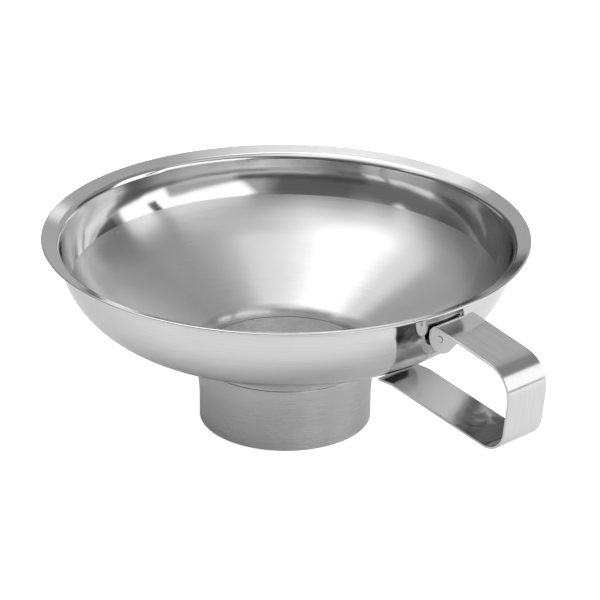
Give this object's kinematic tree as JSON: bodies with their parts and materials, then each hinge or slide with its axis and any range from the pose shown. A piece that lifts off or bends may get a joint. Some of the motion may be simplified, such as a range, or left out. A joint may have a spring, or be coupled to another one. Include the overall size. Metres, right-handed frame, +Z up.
{
  "type": "canning funnel",
  "caption": "Short wide-mouth canning funnel: a flared spun bowl, an open round spout that drops into a jar mouth, and a hinged strap loop handle under the rim.",
  "frame": {"origin": "centre of the spout's lower end, on the funnel's axis", "axes": "+Z up along the funnel's axis towards the rim, +X from the axis towards the handle"},
  "size_m": [0.1651, 0.14, 0.0578],
  "materials": {
    "bowl_steel": "polished stainless wall and rim, satin spun floor inside",
    "spout_steel": "satin stainless",
    "bracket_steel": "plain stainless",
    "pin_steel": "plain stainless, peened ends",
    "strap_steel": "polished stainless with a fine lengthwise grain"
  },
  "bodies": {
    "funnel": {"bowl": "bowl_steel", "spout": "spout_steel", "hinge_bracket": "bracket_steel"},
    "handle": {"hinge_pin": "pin_steel", "handle_strap": "strap_steel"}
  },
  "joints": [
    {"name": "handle_swing", "type": "hinge", "parent": "funnel", "child": "handle", "pos_m": [0.0691, 0, 0.0499], "axis": [0, -1, 0], "range_deg": [0, 45]}
  ]
}
